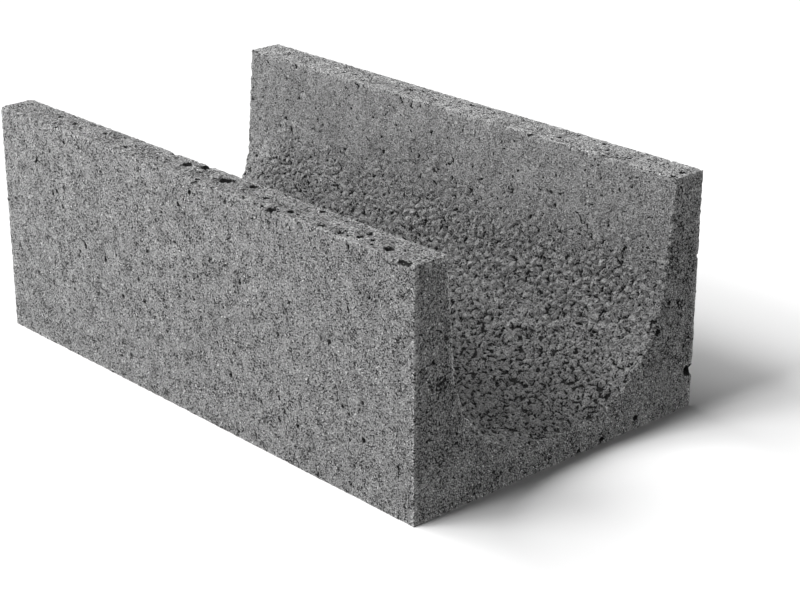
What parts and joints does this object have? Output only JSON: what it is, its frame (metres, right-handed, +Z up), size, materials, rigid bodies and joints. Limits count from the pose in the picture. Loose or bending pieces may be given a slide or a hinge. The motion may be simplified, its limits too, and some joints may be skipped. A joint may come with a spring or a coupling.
{
  "type": "concrete channel block",
  "caption": "U-shaped concrete block, open at the top and both ends, laid end to end as lost formwork for a reinforced lintel or bond beam.",
  "frame": {"origin": "middle of the bed face, the underside that the block stands on", "axes": "+X along the channel, +Y across it from wall to wall, +Z up out of the channel's open top"},
  "size_m": [0.49, 0.29, 0.19],
  "materials": {
    "concrete": "raw pressed concrete, matt grey, fine grained outside with small pits and pores, coarse rounded grains inside the channel"
  },
  "bodies": {
    "root": {"channel_block": "concrete"}
  },
  "joints": []
}
